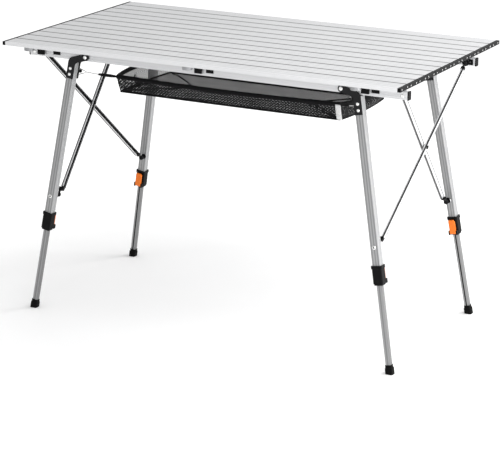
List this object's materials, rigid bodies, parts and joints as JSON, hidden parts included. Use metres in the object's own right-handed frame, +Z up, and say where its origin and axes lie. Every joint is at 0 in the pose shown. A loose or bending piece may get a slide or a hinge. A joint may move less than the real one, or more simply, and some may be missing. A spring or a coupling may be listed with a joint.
{
  "type": "roll-top camp kitchen table",
  "caption": "Folding camp kitchen table: roll-up aluminium slat top on two rails, splayed telescoping legs with cam clamps, crossed braces and a hanging net basket.",
  "frame": {"origin": "on the ground under the middle of the top, legs fully out", "axes": "+X along the table's long side to the right, +Y towards the back, +Z up"},
  "size_m": [1.2, 0.6712, 0.788],
  "materials": {
    "slat_aluminium": "satin anodised, lengthwise grain",
    "rail_aluminium": "satin anodised",
    "upper_leg_aluminium": "satin anodised",
    "lower_leg_aluminium": "satin anodised",
    "brace_aluminium": "satin",
    "bright_steel": "zinc plated",
    "black_paint": "satin black",
    "black_plastic": "matt black",
    "orange_plastic": "semi gloss",
    "black_rubber": "matt",
    "black_net": "fine net"
  },
  "bodies": {
    "front_rail": {"front_rail": "rail_aluminium", "front_rail_plugs": "black_plastic", "front_rail_bolts": "bright_steel", "basket": "black_net"},
    "back_rail": {"back_rail": "rail_aluminium", "back_rail_plugs": "black_plastic", "back_rail_bolts": "bright_steel"},
    "leg_front_left": {"bracket_front_left": "black_paint", "leg_pins_front_left": "bright_steel", "upper_leg_front_left": "upper_leg_aluminium", "clamp_front_left": "black_plastic"},
    "lower_front_left": {"lower_leg_front_left": "lower_leg_aluminium", "foot_front_left": "black_rubber"},
    "lever_front_left": {"cam_lever_front_left": "orange_plastic"},
    "strut_front_left": {"brace_front_left": "brace_aluminium", "knuckles_front_left": "black_plastic"},
    "leg_front_right": {"bracket_front_right": "black_paint", "leg_pins_front_right": "bright_steel", "upper_leg_front_right": "upper_leg_aluminium", "clamp_front_right": "black_plastic"},
    "lower_front_right": {"lower_leg_front_right": "lower_leg_aluminium", "foot_front_right": "black_rubber"},
    "lever_front_right": {"cam_lever_front_right": "orange_plastic"},
    "strut_front_right": {"brace_front_right": "brace_aluminium", "knuckles_front_right": "black_plastic"},
    "leg_back_left": {"bracket_back_left": "black_paint", "leg_pins_back_left": "bright_steel", "upper_leg_back_left": "upper_leg_aluminium", "clamp_back_left": "black_plastic"},
    "lower_back_left": {"lower_leg_back_left": "lower_leg_aluminium", "foot_back_left": "black_rubber"},
    "lever_back_left": {"cam_lever_back_left": "orange_plastic"},
    "strut_back_left": {"brace_back_left": "brace_aluminium", "knuckles_back_left": "black_plastic"},
    "leg_back_right": {"bracket_back_right": "black_paint", "leg_pins_back_right": "bright_steel", "upper_leg_back_right": "upper_leg_aluminium", "clamp_back_right": "black_plastic"},
    "lower_back_right": {"lower_leg_back_right": "lower_leg_aluminium", "foot_back_right": "black_rubber"},
    "lever_back_right": {"cam_lever_back_right": "orange_plastic"},
    "strut_back_right": {"brace_back_right": "brace_aluminium", "knuckles_back_right": "black_plastic"},
    "top_slat_01": {"slat_01": "slat_aluminium"},
    "top_slat_02": {"slat_02": "slat_aluminium"},
    "top_slat_03": {"slat_03": "slat_aluminium"},
    "top_slat_04": {"slat_04": "slat_aluminium"},
    "top_slat_05": {"slat_05": "slat_aluminium"},
    "top_slat_06": {"slat_06": "slat_aluminium"},
    "top_slat_07": {"slat_07": "slat_aluminium"},
    "top_slat_08": {"slat_08": "slat_aluminium"},
    "top_slat_09": {"slat_09": "slat_aluminium"},
    "top_slat_10": {"slat_10": "slat_aluminium"},
    "top_slat_11": {"slat_11": "slat_aluminium"},
    "top_slat_12": {"slat_12": "slat_aluminium"},
    "catch_front_left": {"latch_front_left": "black_plastic"},
    "catch_front_middle": {"latch_front_middle": "black_plastic"},
    "catch_front_right": {"latch_front_right": "black_plastic"},
    "catch_back_left": {"latch_back_left": "black_plastic"},
    "catch_back_right": {"latch_back_right": "black_plastic"}
  },
  "joints": [
    {"name": "frame_fold", "type": "slide", "parent": "front_rail", "child": "back_rail", "axis": [0, -1, 0], "range_m": [0, 0.28438], "deforming": ["basket"]},
    {"name": "leg_fold_front_left", "type": "hinge", "parent": "front_rail", "child": "leg_front_left", "pos_m": [-0.391, -0.228, 0.745], "axis": [-0.0523, -0.9968, 0.061], "range_deg": [0, 95.01]},
    {"name": "brace_swing_front_left", "type": "hinge", "parent": "front_rail", "child": "strut_front_left", "pos_m": [-0.553, -0.203, 0.745], "axis": [-0.393, -0.8853, -0.2487], "range_deg": [0, 86.77]},
    {"name": "leg_height_front_left", "type": "slide", "parent": "leg_front_left", "child": "lower_front_left", "axis": [0.1702, 0.0602, 0.9836], "range_m": [0, 0.2]},
    {"name": "lever_open_front_left", "type": "hinge", "parent": "leg_front_left", "child": "lever_front_left", "pos_m": [-0.52021, -0.24114, 0.24355], "axis": [-0.9854, 0.0104, 0.1699], "range_deg": [0, 100]},
    {"name": "leg_fold_front_right", "type": "hinge", "parent": "front_rail", "child": "leg_front_right", "pos_m": [0.391, -0.228, 0.745], "axis": [0.0523, 0.9968, -0.061], "range_deg": [0, 95.01]},
    {"name": "brace_swing_front_right", "type": "hinge", "parent": "front_rail", "child": "strut_front_right", "pos_m": [0.553, -0.203, 0.745], "axis": [-0.3278, 0.9123, 0.2454], "range_deg": [0, 83.26]},
    {"name": "leg_height_front_right", "type": "slide", "parent": "leg_front_right", "child": "lower_front_right", "axis": [-0.1702, 0.0602, 0.9836], "range_m": [0, 0.2]},
    {"name": "lever_open_front_right", "type": "hinge", "parent": "leg_front_right", "child": "lever_front_right", "pos_m": [0.52021, -0.24114, 0.24355], "axis": [-0.9854, -0.0104, -0.1699], "range_deg": [0, 100]},
    {"name": "leg_fold_back_left", "type": "hinge", "parent": "back_rail", "child": "leg_back_left", "pos_m": [-0.391, 0.228, 0.745], "axis": [-0.0523, -0.9968, -0.061], "range_deg": [0, 95.01]},
    {"name": "brace_swing_back_left", "type": "hinge", "parent": "back_rail", "child": "strut_back_left", "pos_m": [-0.553, 0.203, 0.745], "axis": [0.3278, -0.9123, 0.2454], "range_deg": [0, 83.26]},
    {"name": "leg_height_back_left", "type": "slide", "parent": "leg_back_left", "child": "lower_back_left", "axis": [0.1702, -0.0602, 0.9836], "range_m": [0, 0.2]},
    {"name": "lever_open_back_left", "type": "hinge", "parent": "leg_back_left", "child": "lever_back_left", "pos_m": [-0.52021, 0.24114, 0.24355], "axis": [0.9854, 0.0104, -0.1699], "range_deg": [0, 100]},
    {"name": "leg_fold_back_right", "type": "hinge", "parent": "back_rail", "child": "leg_back_right", "pos_m": [0.391, 0.228, 0.745], "axis": [0.0523, 0.9968, 0.061], "range_deg": [0, 95.01]},
    {"name": "brace_swing_back_right", "type": "hinge", "parent": "back_rail", "child": "strut_back_right", "pos_m": [0.553, 0.203, 0.745], "axis": [0.393, 0.8853, -0.2487], "range_deg": [0, 86.77]},
    {"name": "leg_height_back_right", "type": "slide", "parent": "leg_back_right", "child": "lower_back_right", "axis": [-0.1702, -0.0602, 0.9836], "range_m": [0, 0.2]},
    {"name": "lever_open_back_right", "type": "hinge", "parent": "leg_back_right", "child": "lever_back_right", "pos_m": [0.52021, 0.24114, 0.24355], "axis": [0.9854, -0.0104, 0.1699], "range_deg": [0, 100]},
    {"name": "top_lift", "type": "slide", "parent": "front_rail", "child": "top_slat_06", "axis": [0, 0, 1], "range_m": [0, 0.25]},
    {"name": "top_roll", "type": "hinge", "parent": "top_slat_06", "child": "top_slat_07", "pos_m": [0, 0, 0.788], "axis": [1, 0, 0], "range_deg": [0, 28]},
    {"name": "slat_hinge_07", "type": "hinge", "parent": "top_slat_07", "child": "top_slat_08", "pos_m": [0, 0.056, 0.788], "axis": [1, 0, 0], "range_deg": [0, 28.01]},
    {"name": "slat_hinge_08", "type": "hinge", "parent": "top_slat_08", "child": "top_slat_09", "pos_m": [0, 0.112, 0.788], "axis": [1, 0, 0], "range_deg": [0, 28.01]},
    {"name": "slat_hinge_09", "type": "hinge", "parent": "top_slat_09", "child": "top_slat_10", "pos_m": [0, 0.168, 0.788], "axis": [1, 0, 0], "range_deg": [0, 28.01]},
    {"name": "slat_hinge_10", "type": "hinge", "parent": "top_slat_10", "child": "top_slat_11", "pos_m": [0, 0.224, 0.788], "axis": [1, 0, 0], "range_deg": [0, 28.01]},
    {"name": "slat_hinge_11", "type": "hinge", "parent": "top_slat_11", "child": "top_slat_12", "pos_m": [0, 0.28, 0.788], "axis": [1, 0, 0], "range_deg": [0, 28.01]},
    {"name": "slat_hinge_05", "type": "hinge", "parent": "top_slat_06", "child": "top_slat_05", "pos_m": [0, -0.056, 0.788], "axis": [-1, 0, 0], "range_deg": [0, 28.01]},
    {"name": "slat_hinge_04", "type": "hinge", "parent": "top_slat_05", "child": "top_slat_04", "pos_m": [0, -0.112, 0.788], "axis": [-1, 0, 0], "range_deg": [0, 28.01]},
    {"name": "slat_hinge_03", "type": "hinge", "parent": "top_slat_04", "child": "top_slat_03", "pos_m": [0, -0.168, 0.788], "axis": [-1, 0, 0], "range_deg": [0, 28.01]},
    {"name": "slat_hinge_02", "type": "hinge", "parent": "top_slat_03", "child": "top_slat_02", "pos_m": [0, -0.224, 0.788], "axis": [-1, 0, 0], "range_deg": [0, 28.01]},
    {"name": "slat_hinge_01", "type": "hinge", "parent": "top_slat_02", "child": "top_slat_01", "pos_m": [0, -0.28, 0.788], "axis": [-1, 0, 0], "range_deg": [0, 28.01]},
    {"name": "latch_turn_front_left", "type": "hinge", "parent": "top_slat_01", "child": "catch_front_left", "pos_m": [-0.536, -0.3, 0.768], "axis": [0, 0, -1], "range_deg": [0, 90]},
    {"name": "latch_turn_front_middle", "type": "hinge", "parent": "top_slat_01", "child": "catch_front_middle", "pos_m": [-0.033, -0.3, 0.768], "axis": [0, 0, 1], "range_deg": [0, 90]},
    {"name": "latch_turn_front_right", "type": "hinge", "parent": "top_slat_01", "child": "catch_front_right", "pos_m": [0.46, -0.3, 0.768], "axis": [0, 0, -1], "range_deg": [0, 90]},
    {"name": "latch_turn_back_left", "type": "hinge", "parent": "top_slat_12", "child": "catch_back_left", "pos_m": [-0.46, 0.3, 0.768], "axis": [0, 0, -1], "range_deg": [0, 90]},
    {"name": "latch_turn_back_right", "type": "hinge", "parent": "top_slat_12", "child": "catch_back_right", "pos_m": [0.536, 0.3, 0.768], "axis": [0, 0, -1], "range_deg": [0, 90]}
  ],
  "couplings": [
    {"joint": "leg_fold_front_left", "follows": "frame_fold", "rad_per_m": 5.8304},
    {"joint": "brace_swing_front_left", "follows": "frame_fold", "rad_per_m": 5.3246},
    {"joint": "leg_fold_front_right", "follows": "frame_fold", "rad_per_m": 5.8304},
    {"joint": "brace_swing_front_right", "follows": "frame_fold", "rad_per_m": 5.1096},
    {"joint": "leg_fold_back_left", "follows": "frame_fold", "rad_per_m": 5.8304},
    {"joint": "brace_swing_back_left", "follows": "frame_fold", "rad_per_m": 5.1096},
    {"joint": "leg_fold_back_right", "follows": "frame_fold", "rad_per_m": 5.8304},
    {"joint": "brace_swing_back_right", "follows": "frame_fold", "rad_per_m": 5.3246},
    {"joint": "slat_hinge_07", "follows": "top_roll", "ratio": 1},
    {"joint": "slat_hinge_08", "follows": "top_roll", "ratio": 1},
    {"joint": "slat_hinge_09", "follows": "top_roll", "ratio": 1},
    {"joint": "slat_hinge_10", "follows": "top_roll", "ratio": 1},
    {"joint": "slat_hinge_11", "follows": "top_roll", "ratio": 1},
    {"joint": "slat_hinge_05", "follows": "top_roll", "ratio": 1},
    {"joint": "slat_hinge_04", "follows": "top_roll", "ratio": 1},
    {"joint": "slat_hinge_03", "follows": "top_roll", "ratio": 1},
    {"joint": "slat_hinge_02", "follows": "top_roll", "ratio": 1},
    {"joint": "slat_hinge_01", "follows": "top_roll", "ratio": 1}
  ]
}
